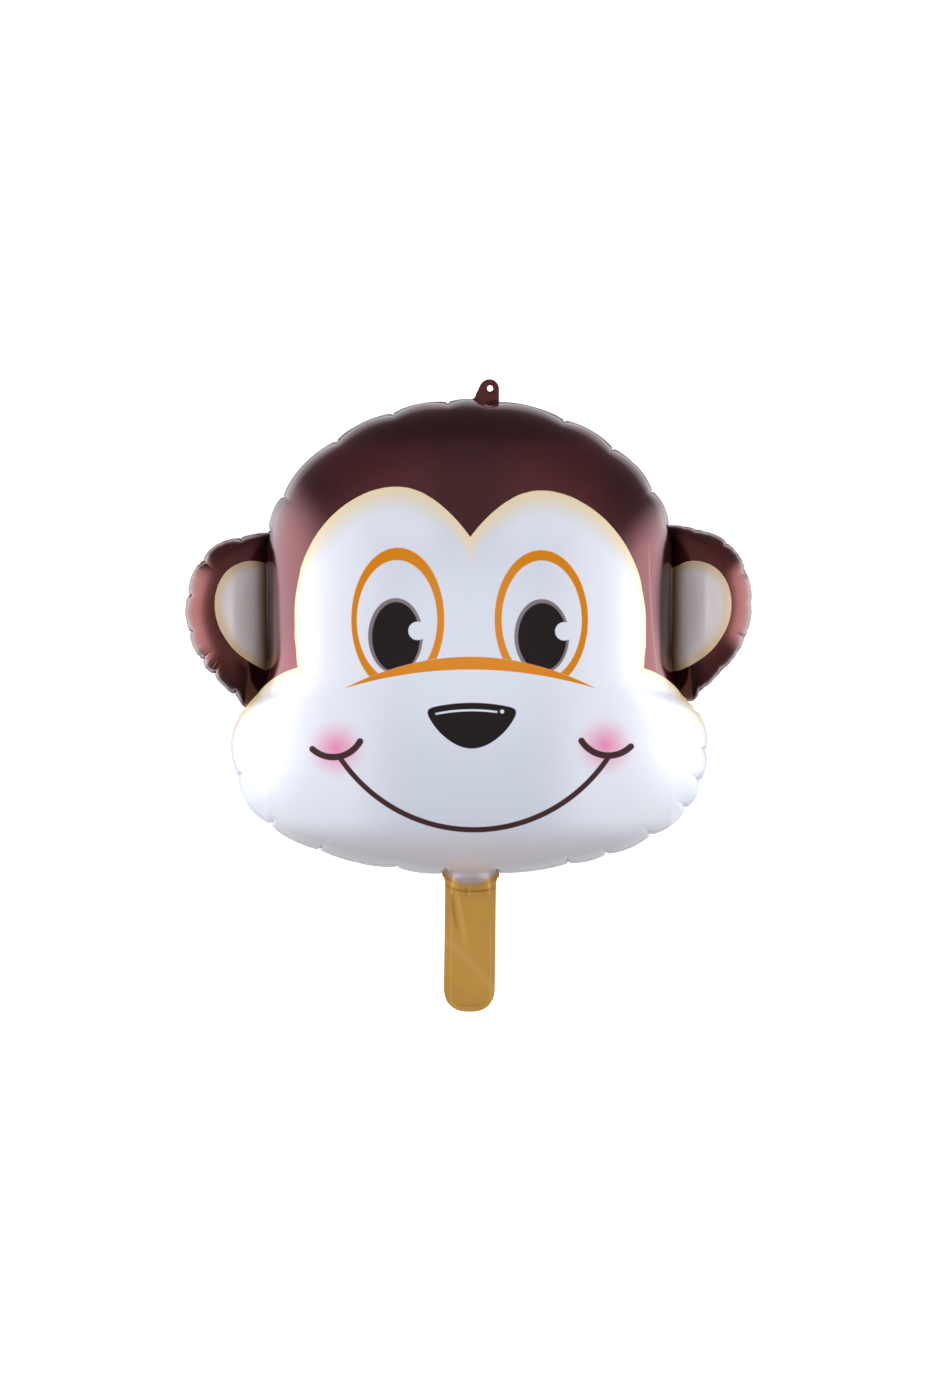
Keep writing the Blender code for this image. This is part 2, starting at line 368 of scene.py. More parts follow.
def blown_film(name, edge, puckers, half_depth, rings, spoke_gap, gathers, crimps, folds=(), middle=None):
    """A lobe of film blown up inside its weld, made from a sphere whose poles are its two faces."""
    chance = np.random.default_rng(CRIMP_SEED)
    scallop_depth, scallop_reach, crease_depth = gathers
    starts = sorted(bearing % 360 for bearing in puckers)
    rays, creases = [], list(folds)
    for start, end in zip(starts, starts[1:] + [starts[0] + 360]):
        span = radians(end - start) * edge(start)
        steps = max(FEWEST_SPOKES, ceil(span / spoke_gap))
        for n in range(steps):
            share = n / steps - SPOKE_CROWDING * sin(2 * pi * n / steps) / (2 * pi)
            rays.append((start + (end - start) * share, share))
        crease_reach = CREASE_REACH * chance.uniform(*CREASE_REACH_SPREAD)
        if start > 180 and not middle:
            crease_reach *= LOWER_CREASE_GAIN
        creases.append((start, crease_depth, crease_reach, CREASE_WIDTH))
        for _ in range(chance.integers(*crimps)):
            creases.append(
                (
                    start + (end - start) * chance.beta(CRIMP_CROWDING, CRIMP_CROWDING),
                    chance.uniform(*CRIMP_DEPTH),
                    chance.uniform(*CRIMP_REACH),
                    chance.uniform(*CRIMP_WIDTH),
                )
            )

    # Rings run from the pole over the blown film, and then over the flat weld to its edge
    bearings = np.array([bearing for bearing, _ in rays])[:, None]
    between = np.array([share for _, share in rays])[:, None]
    reach = np.array([edge(bearing) for bearing in bearings[:, 0]])[:, None] - WELD_WIDTH
    mean = float(np.mean([edge(bearing) for bearing in range(360)])) - WELD_WIDTH
    blown = np.arange(rings + 1) / rings
    share = np.sin(pi / 2 * (1 - (1 - blown) ** RING_CROWDING))[None, :]
    out = share * (mean + (reach - mean) * share**2)
    up = half_depth * np.sqrt(np.clip(1 - share**BLOWN_POWER, 0, 1)) + 0 * out
    lengths = np.hypot(np.diff(out, axis=1), np.diff(up, axis=1))
    to_edge = np.cumsum(lengths[:, ::-1], axis=1)[:, ::-1]
    to_edge = np.concatenate([to_edge, np.zeros_like(reach)], axis=1)

    # Each pucker pulls the film in along its own facing
    along_out, along_up = np.gradient(out, axis=1), np.gradient(up, axis=1)
    length = np.hypot(along_out, along_up)
    face_out, face_up = -along_up / length, along_out / length
    pinch = 1 - np.sin(pi * between) ** PINCH_POWER
    swell = SCALLOP_AT_WELD + (1 - SCALLOP_AT_WELD) * np.minimum(to_edge / SCALLOP_RISE, 1)
    pull = scallop_depth * pinch * swell * np.exp(-((to_edge / scallop_reach) ** 2))
    swell = CREASE_AT_WELD + (1 - CREASE_AT_WELD) * np.minimum(to_edge / CREASE_RISE, 1)
    for bearing, depth, crease_reach, width in creases:
        aside = np.abs((bearings - bearing + 180) % 360 - 180)
        aside = np.radians(aside) * out / (width * (1 + CREASE_SPLAY * to_edge / crease_reach))
        fold = np.clip(1 - aside, 0, 1) ** CREASE_POWER
        pull += depth * fold * swell * np.exp(-((to_edge / crease_reach) ** CREASE_FADE_POWER))
    out, up = out - pull * face_out, up - pull * face_up
    up = np.maximum(up, WELD_HALF_THICKNESS)
    weld_out = out[:, -1:] + WELD_WIDTH * np.arange(1, WELD_RINGS + 1) / WELD_RINGS
    weld_up = np.full_like(weld_out, WELD_HALF_THICKNESS)
    weld_up[:, -1] = 0
    out, up = np.concatenate([out, weld_out], axis=1), np.concatenate([up, weld_up], axis=1)
    wave = sum(np.sin(np.radians(bearings) * turns + turns) for turns in WELD_WAVE_TURNS) * WELD_WAVE
    lift = np.zeros_like(out)
    lift[:, -WELD_RINGS:] = (wave - WELD_FOLD) * np.arange(1, WELD_RINGS + 1) / WELD_RINGS

    bpy.ops.mesh.primitive_uv_sphere_add(segments=len(rays), ring_count=2 * (rings + WELD_RINGS), radius=1)
    film = bpy.context.object
    film.name = name
    ball = np.empty(3 * len(film.data.vertices), np.float32)
    film.data.vertices.foreach_get("co", ball)
    x, y, z = ball.reshape(-1, 3).T
    spoke = np.round(np.arctan2(y, x) / (2 * pi) * len(rays)).astype(int) % len(rays)
    ring = np.round(np.arccos(np.clip(np.abs(z), 0, 1)) / (pi / 2) * (rings + WELD_RINGS)).astype(int)
    turn, distance = np.radians(bearings[spoke, 0]), out[spoke, ring]
    height = up[spoke, ring]
    x, y = distance * np.cos(turn), distance * np.sin(turn)
    if middle:
        x, y = x + middle[0], y + middle[1]
        near = np.clip(1 - (np.abs(x) - VALLEY_PLACE) / VALLEY_WIDTH, 0, 1)
        height = height * (1 - VALLEY_DEPTH * near**VALLEY_POWER)
    height = np.where(z > 0, height, -np.minimum(height, weld_height)) + lift[spoke, ring]
    points = np.stack([x, y, weld_height + np.maximum(height, -weld_height)], axis=1)
    film.data.vertices.foreach_set("co", points.astype(np.float32).ravel())
    film.data.update()
    return film


bpy.ops.object.select_all(action="DESELECT")
jowl_folds = [(side, *fold) for bearing, *fold in JOWL_FOLDS for side in (bearing, 180 - bearing)]
bag = blown_film(
    "foil_bag", head_edge, HEAD_PUCKERS, HALF_DEPTH, HEAD_RINGS, HEAD_SPOKE_GAP,
    HEAD_GATHERS, HEAD_CRIMPS, jowl_folds,
)  # fmt: skip
for ear_name, ear_middle, ear_gathers, ear_puckers in EARS:
    ear_edge = right_ear_edge if ear_middle[0] > 0 else left_ear_edge
    ear = blown_film(
        ear_name, ear_edge, ear_puckers, HALF_EAR_DEPTH, EAR_RINGS, EAR_SPOKE_GAP,
        ear_gathers, EAR_CRIMPS, (), ear_middle,
    )  # fmt: skip
    bpy.context.view_layer.objects.active = bag
    union = bag.modifiers.new(ear_name, "BOOLEAN")
    union.operation = "UNION"
    union.solver = "MANIFOLD"
    union.object = ear
    bpy.ops.object.modifier_apply(modifier=ear_name)
    bpy.data.objects.remove(ear)
bpy.ops.object.select_all(action="DESELECT")
bag.select_set(True)
bpy.context.view_layer.objects.active = bag
bpy.ops.object.shade_smooth_by_angle(angle=radians(FILM_SMOOTH_ANGLE))


# The print on the bag. A tinted see-through brown over the bright metal, and opaque white under
# the face, with the face's lines and colours over it. Painted light and shade are laid in with the
# inks: lighter and darker reflections over the hair, shade in the ear valleys and crimps, highlights
# on the sides of the face and by the right ear, and grey shade under the jaw. Sizes are millimetres
# on the film, and a pair of them is where something starts and where it is full.
def distance_from(u, v, x, y):
    return ((u - x) ** 2 + (v - y) ** 2) ** 0.5


def inside_oval(u, v, x, y, half_width, half_height):
    """Depth inside an oval, in millimetres near its edge."""
    across, upward = (u - x) / half_width, (v - y) / half_height
    return (1 - (across**2 + upward**2) ** 0.5) * min(half_width, half_height)


def inside_arc(u, v, x, y, radius, half_width, start, end):
    """Depth inside a round-ended stroke along an arc between two bearings."""
    middle, half_turn = radians((start + end) / 2), radians((end - start) / 2)
    out = distance_from(u, v, x, y)
    ahead = (u - x) * cos(middle) + (v - y) * sin(middle)
    stroke = (half_width - (out - radius).size()).least(ahead - out * cos(half_turn))
    for bearing in (radians(start), radians(end)):
        tip = distance_from(u, v, x + radius * cos(bearing), y + radius * sin(bearing))
        stroke = stroke.most(half_width - tip)
    return stroke


class Print:
    """Inks, and painted light and shade, laid over each other on the film."""

    def __init__(self, name, colour):
        self.material = bpy.data.materials.new(name)
        self.material.use_nodes = True
        self.tree = self.material.node_tree
        self.shader = self.tree.nodes["Principled BSDF"]
        place = self.tree.nodes.new("ShaderNodeTexCoord")
        self.object_place = place.outputs["Object"]
        parts = self.tree.nodes.new("ShaderNodeSeparateXYZ")
        self.tree.links.new(self.object_place, parts.inputs[0])
        self.u, self.v, self.w = (Amount(self.tree, parts.outputs[axis]) * 1000 for axis in "XYZ")
        facing = self.tree.nodes.new("ShaderNodeNewGeometry")
        facing_parts = self.tree.nodes.new("ShaderNodeSeparateXYZ")
        self.tree.links.new(facing.outputs["True Normal"], facing_parts.inputs[0])
        self.front = Amount(self.tree, facing_parts.outputs["Z"]).work("GREATER_THAN", 0)
        self.colour = (*colour, 1)

    def lay(self, colour, cover):
        mix = self.tree.nodes.new("ShaderNodeMix")
        mix.data_type = "RGBA"
        self.tree.links.new(cover.socket, mix.inputs["Factor"])
        under = next(entry for entry in mix.inputs if entry.name == "A" and entry.type == "RGBA")
        over = next(entry for entry in mix.inputs if entry.name == "B" and entry.type == "RGBA")
        if isinstance(self.colour, tuple):
            under.default_value = self.colour
        else:
            self.tree.links.new(self.colour, under)
        over.default_value = (*colour, 1)
        self.colour = next(out for out in mix.outputs if out.type == "RGBA")

    def set(self, name, amount):
        self.tree.links.new(amount.socket, self.shader.inputs[name])

    def noise(self, scale, detail, stretch=(1, 1, 1)):
        place = self.tree.nodes.new("ShaderNodeMapping")
        place.inputs["Scale"].default_value = stretch
        self.tree.links.new(self.object_place, place.inputs["Vector"])
        node = self.tree.nodes.new("ShaderNodeTexNoise")
        node.inputs["Scale"].default_value = scale
        node.inputs["Detail"].default_value = detail
        self.tree.links.new(place.outputs[0], node.inputs["Vector"])
        return Amount(self.tree, node.outputs[0])

    def spokes(self, across, upward, count):
        """A noise that changes with the bearing alone, about so many times round."""
        out = (across**2 + upward**2) ** 0.5
        turn = self.tree.nodes.new("ShaderNodeCombineXYZ")
        self.tree.links.new((across / out).socket, turn.inputs["X"])
        self.tree.links.new((upward / out).socket, turn.inputs["Y"])
        node = self.tree.nodes.new("ShaderNodeTexNoise")
        node.inputs["Scale"].default_value = count / (2 * pi)
        node.inputs["Detail"].default_value = 1
        self.tree.links.new(turn.outputs[0], node.inputs["Vector"])
        return Amount(self.tree, node.outputs[0])


BROWN = (0.20, 0.052, 0.056)
RED_BROWN = (0.33, 0.068, 0.084)
DARK_BROWN = (0.11, 0.024, 0.030)
EAR_BROWN = (0.25, 0.054, 0.044)
CREAM = (0.90, 0.76, 0.50)
WHITE = (0.71, 0.755, 0.865)
SIDE_HIGHLIGHT = (0.87, 0.90, 1.0)
JAW_SHADE = (0.66, 0.64, 0.69)
EGG_TAN = (0.85, 0.64, 0.41)
EGG_PEARL = (0.92, 0.84, 0.85)
EGG_SHADE = (0.10, 0.048, 0.034)
FOLD_SHADE = (0.020, 0.006, 0.006)
TAUT_HIGHLIGHT = (0.60, 0.33, 0.30)
CRIMP_HIGHLIGHT = (0.60, 0.24, 0.21)
ORANGE = (0.71, 0.235, 0.0)
GREY = (0.22, 0.18, 0.20)
BLACK = (0.009, 0.004, 0.004)
MOUTH_BROWN = (0.055, 0.018, 0.020)
PINK = (0.88, 0.20, 0.46)

MOTTLES = (
    (RED_BROWN, 5.5, (1, 1, 1), (0.46, 0.66)),
    (DARK_BROWN, 4.5, (1.8, 0.8, 1), (0.50, 0.68)),
)  # colour, scale and stretch of its noise, and the levels of the noise from none to all of it
MOTTLE_DETAIL, MOTTLE_COVER = 2, 0.7
HAIR_TOP, HAIR_FOOT, HAIR_SIDE, HAIR_PARTING = (225, 190), (90, 130), (160, 110), (15, 60)
HAIR_COVER = 0.7  # of the lighter red painted over the hair, a painted reflection
CROWN_START, CROWN_END, CROWN_SIDE = (198, 213), (243, 235), (150, 90)
CROWN_COVER = 0.6  # of the dark painted along the top of the hair, a painted dark reflection
LOBE_MIDDLE = (71.5, 34.0)
LOBE_SHIFT, LOBE_SKEW = 0.7, 0.0265
LOBE_EDGE = (
    (-180, 120),
    (-60, 120),
    (-35, 115),
    (-15, 104.5),
    (5, 101),
    (25, 104),
    (45, 109.8),
    (60, 115.2),
    (72, 119.5),
    (82, 122.4),
    (90, 123.3),
    (98, 121.8),
    (106, 117.9),
    (115, 112.6),
    (124, 107.8),
    (133, 104),
    (150, 98.5),
    (180, 95),
)
CHEEK_EDGE = (
    (0, -11),
    (147, -12.8),
    (169, -18.1),
    (187, -24.9),
    (202.4, -35.2),
    (213.3, -46),
    (226.1, -59.9),
    (240, -78),
    (300, -150),
)
CHEEK_SLANT = 0.8  # turns the height over the cheek's edge into a distance from it
AIRBRUSH_WIDTH, BROW_AIRBRUSH_WIDTH = 17, 31
BROW_START, BROW_PARTING = (75, 120), (10, 50)
BROW_COVER = 0.7
SIDE_START, SIDE_END = (60, 125), (225, 190)
JAW_START = (-165, -200)
EGG_MIDDLE = (213.5, 39.4)
EGG_EDGE = (
    (-180, 39.7),
    (-135, 62.0),
    (-100, 61.0),
    (-90, 57.9),
    (-80, 54.0),
    (-70, 51.0),
    (-60, 49.0),
    (-48, 47.1),
    (-35, 45.8),
    (-15, 45.8),
    (0, 46.6),
    (20, 48.8),
    (38, 51.1),
    (52, 52.1),
    (66, 51.5),
    (80, 49.7),
    (90, 47.5),
    (100, 44.0),
    (135, 40.0),
    (180, 39.7),
)
EGG_START = 200.7  # the seam between the ear's film and the head's
LEFT_EGG_SHIFT = 7.2
EGG_PEARL_START = (1, 13)
EAR_START = (203, 212)
EAR_MIDDLE_UP = 43
EAR_CLEARANCE = 3  # above this over the ear's own height, the film is the head's
EAR_RIM, EAR_BORDER = (1, 0.98), (1, 0.92)  # these two, and EAR_CRIMP_RIM, in ear radii
VALLEY_SHADE = (220, 201)  # painted shade in the valley, from the first width to the second
VALLEY_CLEARANCE, VALLEY_SOFTNESS = 15, 8
BESIDE_VALLEY = (179, 190)  # and on the head beside the right ear
BESIDE_VALLEY_END = (206, 202)
BESIDE_VALLEY_MIDDLE, BESIDE_VALLEY_HALF_HEIGHT, BESIDE_VALLEY_BOW = 46, 48, 5
WEDGE_SHADE = (242, 224)  # and in the wedge between an ear and the cheek
WEDGE_START, WEDGE_TOP = (197, 203), (-4, -18)
SHADE_COVER = 0.8
TAUT_PLACE, TAUT_TOP, TAUT_HEIGHT, TAUT_BOW = 177.1, 95, 112, 7.4  # a painted highlight along a taut line of film by the right ear
TAUT_WIDTH, TAUT_START = 1.3, (110, 80)
TAUT_COVER = 0.22
EAR_CRIMP_COUNT, EAR_CRIMP_GAIN = 190, 2.5
EAR_CRIMP_RIM = (0.82, 0.93)
CRIMP_LIGHT, CRIMP_LIGHT_COVER = (0.54, 0.64), 0.55
CRIMP_DARK, CRIMP_DARK_COVER = (0.46, 0.38), 0.75
EAR_CRIMPING = (
    (-180, 0.0),
    (-64, 0.0),
    (-54, 1.0),
    (-38, 1.0),
    (-28, 0.0),
    (-14, 0.0),
    (-4, 0.6),
    (5, 0.0),
    (14, 0.0),
    (24, 1.0),
    (36, 1.0),
    (44, 0.1),
    (58, 0.8),
    (72, 0.8),
    (80, 0.0),
    (180, 0.0),
)  # how strongly the rim of an ear is crimped, by the bearing
EYES = (
    (
        (-70.2, 28.6, 45.5, 70.3),
        (-70.9, 28.1, 39.3, 58.6),
        (-72.3, 12.5, 26.8, 37.1),
        (-71.8, 11.5, 23.4, 34.2),
    ),
    (
        (70.1, 28.6, 45.7, 67.9),
        (70.5, 28.1, 39.1, 58.2),
        (70.5, 12.0, 26.8, 36.6),
        (71.0, 11.5, 23.7, 33.2),
    ),
)  # outer oval, inner oval, grey rim and pupil, each as place and half sizes
GLINTS = ((-50.8, 17.5), (92.5, 17.1))
GLINT_RADIUS = 9.1
BRIDGE_MIDDLE = 0.5
BRIDGE_TOP, BRIDGE_TOP_SAG = -7.8, 0.00203
BRIDGE_BOTTOM, BRIDGE_BOTTOM_SAG = -20.3, 0.00121
NOSE_TOP = (2.3, -227.7, 175)  # the nose is what three discs share, with its corners rounded
NOSE_SIDES = ((17.0, -37.3, 64), (-12.6, -37.3, 64))
NOSE_ROUNDING = 12
NOSE_SHINE = (2.3, -234.4, 174.4, 82.2, 101.4)
NOSE_SHINE_HALF_WIDTH = 1.0
NOSE_SPARK, NOSE_SPARK_RADIUS = (31.8, -61.3), 2.0
SMILE_MIDDLE = (4.4, -60)
SMILE_RADIUS, SMILE_OPENING = 117.5, 0.0044
SMILE_HALF_WIDTH = 2.7
SMILE_HALF_TURN = 70.5
CURLS = ((-133.7, -75.5, 30.5, 228.0, 330.5), (136.2, -72.7, 31.8, 212.9, 313.9))
CURL_HALF_WIDTH = 3.2
BLUSHES = ((-130.6, -97.7), (132.9, -95.2))
BLUSH_RADIUS, BLUSH_FULL, BLUSH_COVER = 34, 1.05, 0.85

FILM_METALLIC, WHITE_METALLIC_LOSS, EGG_METALLIC_GAIN = 0.90, 0.76, 0.30
FILM_ROUGHNESS, GRAIN_ROUGHNESS, WHITE_ROUGHNESS = 0.14, 0.08, 0.20
GRAIN_SCALE, GRAIN_DETAIL = 9, 3
SHADE_COAT_LOSS, INK_COAT_LOSS, ORANGE_COAT_LOSS = 0.8, 0.5, 0.35
COAT_IOR, COAT_ROUGHNESS = 1.6, 0.15
CRINKLE_STRENGTH, CRINKLE_DEPTH = 0.25, 0.002
CRINKLE_SCALE, CRINKLE_DETAIL = 16, 4

art = Print("printed foil", BROWN)
u, v = art.u, art.v

lobe_u = (u - LOBE_SHIFT).size() - LOBE_MIDDLE[0]
lobe_v = v + u * LOBE_SKEW - LOBE_MIDDLE[1]
lobe_turn = lobe_v.work("ARCTAN2", lobe_u) * (180 / pi)
in_lobes = lobe_turn.curve(LOBE_EDGE) - distance_from(lobe_u, lobe_v, 0, 0)
in_cheeks = (u.size().curve(CHEEK_EDGE) - v) * CHEEK_SLANT
in_face = in_lobes.most(in_cheeks)

egg_u = u.size() + u.work("LESS_THAN", 0) * LEFT_EGG_SHIFT - EGG_MIDDLE[0]
egg_v = v - EGG_MIDDLE[1]
egg_turn = egg_v.work("ARCTAN2", egg_u) * (180 / pi)
in_egg = egg_turn.curve(EGG_EDGE) - distance_from(egg_u, egg_v, 0, 0)
in_egg = in_egg.least(u.size() - EGG_START)
ear_share = (distance_from(egg_u, v, 0, EAR_MIDDLE_UP) / (EAR_RADIUS * 1000)).least(1)
ear_height = (1 - ear_share**BLOWN_POWER) ** 0.5 * (HALF_EAR_DEPTH * 1000)
on_ear = ear_height + EAR_CLEARANCE - (art.w - weld_height * 1000).size()

valley = u.size().fade(*VALLEY_SHADE) * ear_share.fade(*EAR_BORDER)
valley = valley * (on_ear + VALLEY_CLEARANCE).cover(VALLEY_SOFTNESS)
from_ear_middle = (v - BESIDE_VALLEY_MIDDLE) / BESIDE_VALLEY_HALF_HEIGHT
beside_valley = (u - from_ear_middle**2 * BESIDE_VALLEY_BOW).fade(*BESIDE_VALLEY)
beside_valley = beside_valley * ear_share.fade(*EAR_BORDER) * art.front * u.fade(*BESIDE_VALLEY_END)
wedge = u.size().fade(*WEDGE_SHADE) * u.size().fade(*WEDGE_START) * v.fade(*WEDGE_TOP)
for colour, scale, stretch, levels in MOTTLES:
    art.lay(colour, art.noise(scale, MOTTLE_DETAIL, stretch).fade(*levels) * MOTTLE_COVER)
# Painted reflection: lighter red over the hair on either side of the parting, where the foil mirrors
# light.
hair = v.fade(*HAIR_TOP) * u.size().fade(*HAIR_SIDE) * u.size().fade(*HAIR_PARTING)
art.lay(RED_BROWN, hair * v.fade(*HAIR_FOOT) * art.front * HAIR_COVER)
# Painted shade: a dark reflection along the top of the hair.
crown = v.fade(*CROWN_START) * v.fade(*CROWN_END) * u.size().fade(*CROWN_SIDE)
art.lay(DARK_BROWN, crown * art.front * CROWN_COVER)
art.lay(EAR_BROWN, u.size().fade(*EAR_START) * ear_share.fade(*EAR_RIM))
# Painted highlight along a taut line of film by the right ear.
taut = u - TAUT_PLACE - ((TAUT_TOP - v) / TAUT_HEIGHT) ** 2 * TAUT_BOW
art.lay(TAUT_HIGHLIGHT, (taut / TAUT_WIDTH).size().fade(1, 0.2) * v.fade(*TAUT_START) * TAUT_COVER)
# The crimps at an ear's rim are bumps, and their light and dark streaks are painted highlight and painted
# shade.
crimps = art.spokes(egg_u, v - EAR_MIDDLE_UP, EAR_CRIMP_COUNT)
ear_turn = (v - EAR_MIDDLE_UP).work("ARCTAN2", egg_u) * (180 / pi)
crimped = ear_turn.curve(EAR_CRIMPING) * ear_share.fade(*EAR_CRIMP_RIM) * u.size().fade(*EAR_START)
art.lay(CRIMP_HIGHLIGHT, crimps.fade(*CRIMP_LIGHT) * crimped * CRIMP_LIGHT_COVER)
art.lay(FOLD_SHADE, crimps.fade(*CRIMP_DARK) * crimped * CRIMP_DARK_COVER)
# Painted shade where the film dips between the ears and the head, and in the wedges below the ears.
shade = valley.most(beside_valley).most(wedge)
art.lay(FOLD_SHADE, shade * SHADE_COVER)

egg = in_egg.least(on_ear).cover() * art.front
whitened = in_cheeks.cover().most(in_lobes.cover() * art.front).most(egg)
art.lay(CREAM, whitened)
brow = v.fade(*BROW_START) * u.size().fade(*BROW_PARTING)
airbrushed = brow * (BROW_AIRBRUSH_WIDTH - AIRBRUSH_WIDTH) + AIRBRUSH_WIDTH
white = (in_face / airbrushed).fade(0, 1) * whitened
art.lay(WHITE, white)
jaw = v.fade(*JAW_START)
# Painted highlight: a brighter, bluer white on the sides of the face and over the brow.
brighter = u.size().fade(*SIDE_START).most(brow * BROW_COVER) * u.size().fade(*SIDE_END)
art.lay(SIDE_HIGHLIGHT, white * brighter * (1 - jaw))
# Painted shade: the white greys towards the bottom of the face, where it turns away from the lamps.
art.lay(JAW_SHADE, white * jaw)
art.lay(EGG_TAN, egg)
art.lay(EGG_PEARL, in_egg.fade(*EGG_PEARL_START) * egg)
# Painted shade on the egg where it dips into the valley.
art.lay(EGG_SHADE, egg * valley)

for x, y in BLUSHES:
    near = 1 - distance_from(u, v, x, y) / BLUSH_RADIUS
    art.lay(PINK, near.fade(0, BLUSH_FULL) * BLUSH_COVER * art.front)

bridge_u = (u - BRIDGE_MIDDLE) ** 2
above_bridge = v - (BRIDGE_TOP - bridge_u * BRIDGE_TOP_SAG)
in_bridge = (v - (BRIDGE_BOTTOM - bridge_u * BRIDGE_BOTTOM_SAG)).least(above_bridge * -1)
inks = in_bridge
for outer, inner, rim, pupil in EYES:
    in_ring = inside_oval(u, v, *outer).least(inside_oval(u, v, *inner) * -1)
    inks = inks.most(in_ring.least(above_bridge))
orange = inks.cover() * art.front
art.lay(ORANGE, orange)
for (outer, inner, rim, pupil), (x, y) in zip(EYES, GLINTS):
    off_glint = distance_from(u, v, x, y) - GLINT_RADIUS
    in_rim = inside_oval(u, v, *rim).least(above_bridge).least(off_glint)
    art.lay(GREY, in_rim.cover() * art.front)
    in_pupil = inside_oval(u, v, *pupil).least(above_bridge).least(off_glint)
    art.lay(BLACK, in_pupil.cover() * art.front)
    inks = inks.most(in_rim)

x, y, radius = NOSE_TOP
in_nose = radius - distance_from(u, v, x, y)
for x, y, radius in NOSE_SIDES:
    in_nose = in_nose.work("SMOOTH_MIN", radius - distance_from(u, v, x, y), NOSE_ROUNDING)
art.lay(BLACK, in_nose.cover() * art.front)
x, y, radius, start, end = NOSE_SHINE
in_shine = inside_arc(u, v, x, y, radius, NOSE_SHINE_HALF_WIDTH, start, end)
in_shine = in_shine.most(NOSE_SPARK_RADIUS - distance_from(u, v, *NOSE_SPARK))
art.lay(WHITE, in_shine.cover() * art.front)

smile_u, smile_v = u - SMILE_MIDDLE[0], v - SMILE_MIDDLE[1]
smile_turn = smile_u.work("ARCTAN2", smile_v * -1) * (180 / pi)
smile_out = distance_from(smile_u, smile_v, 0, 0) - smile_turn**2 * SMILE_OPENING
in_smile = SMILE_HALF_WIDTH - (smile_out - SMILE_RADIUS).size()
in_smile = in_smile.least(SMILE_HALF_TURN - smile_turn.size())
for x, y, radius, start, end in CURLS:
    in_smile = in_smile.most(inside_arc(u, v, x, y, radius, CURL_HALF_WIDTH, start, end))
art.lay(MOUTH_BROWN, in_smile.cover() * art.front)

art.tree.links.new(art.colour, art.shader.inputs["Base Color"])
art.set("Metallic", FILM_METALLIC - whitened * WHITE_METALLIC_LOSS + egg * EGG_METALLIC_GAIN)
grain = art.noise(GRAIN_SCALE, GRAIN_DETAIL) * GRAIN_ROUGHNESS
art.set("Roughness", grain + FILM_ROUGHNESS + whitened * WHITE_ROUGHNESS)
inked = inks.most(in_nose).most(in_smile).cover() * art.front
gloss = 1 - shade * SHADE_COAT_LOSS - inked * INK_COAT_LOSS - orange * ORANGE_COAT_LOSS
art.set("Coat Weight", gloss)
art.shader.inputs["Coat IOR"].default_value = COAT_IOR
art.shader.inputs["Coat Roughness"].default_value = COAT_ROUGHNESS
crinkle = art.tree.nodes.new("ShaderNodeBump")
crinkle.inputs["Strength"].default_value = CRINKLE_STRENGTH
crinkle.inputs["Distance"].default_value = CRINKLE_DEPTH
crinkles = art.noise(CRINKLE_SCALE, CRINKLE_DETAIL) + crimps * crimped * EAR_CRIMP_GAIN
art.tree.links.new(crinkles.socket, crinkle.inputs["Height"])
art.tree.links.new(crinkle.outputs[0], art.shader.inputs["Normal"])

bag.data.materials.clear()
bag.data.materials.append(art.material)
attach(bag, "root")
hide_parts("foil_envelope")

# The hanging tab. Past the weld the two sheets run on as one flat tab, cut round and punched for a
# ribbon, which the pull of the puckers beside it has crumpled a little.
TAB_BEARING = 85.5
TAB_END_RADIUS = 0.0098
TAB_REACH = 0.0102
TAB_SLANT = 26
TAB_FLARE = 0.005
TAB_ROOT = 0.009
TAB_HOLE_RADIUS = 0.0031
TAB_HOLE_RIGHT, TAB_HOLE_UP = 0.0008, 0.0006
TAB_THICKNESS = 0.0005
TAB_GRID = (0.034, 0.044)
TAB_CELLS = (68, 88)
TAB_FOLDS = ((0.0011, 300, 120, 0), (0.0004, 60, 520, 1))  # height, radians a metre across and up, start
TAB_SMOOTH_ANGLE = 40
ARC_STEPS = 24
CUTTER_HALF_HEIGHT = 0.02
MERGE_DISTANCE = 0.00001
TAB_BROWN = (0.30, 0.085, 0.085)
TAB_METALLIC = 0.88
TAB_ROUGHNESS, TAB_GRAIN_ROUGHNESS = 0.2, 0.15
TAB_GRAIN_SCALE, TAB_GRAIN_DETAIL = 90, 3


def arc(middle, radius, start, end):
    turns = [radians(start + (end - start) * n / ARC_STEPS) for n in range(ARC_STEPS + 1)]
    return [(middle[0] + radius * cos(turn), middle[1] + radius * sin(turn)) for turn in turns]


tab_x = head_edge(TAB_BEARING) * cos(radians(TAB_BEARING))
tab_y = head_edge(TAB_BEARING) * sin(radians(TAB_BEARING))
tab_end = (tab_x, tab_y + TAB_REACH)
tab_outline = arc(tab_end, TAB_END_RADIUS, 0, 180 - TAB_SLANT)
slant_x, slant_y = tab_outline[-1]
flare_y = tab_y + TAB_FLARE
flare_x = slant_x - (slant_y - flare_y) * tan(radians(TAB_SLANT)) - TAB_FLARE
tab_outline += arc((flare_x, flare_y), TAB_FLARE, 0, -90)
tab_outline += [(flare_x, tab_y - TAB_ROOT), (tab_x + TAB_END_RADIUS, tab_y - TAB_ROOT)]
tab_hole = arc((tab_x + TAB_HOLE_RIGHT, tab_end[1] + TAB_HOLE_UP), TAB_HOLE_RADIUS, 0, 360)[:-1]

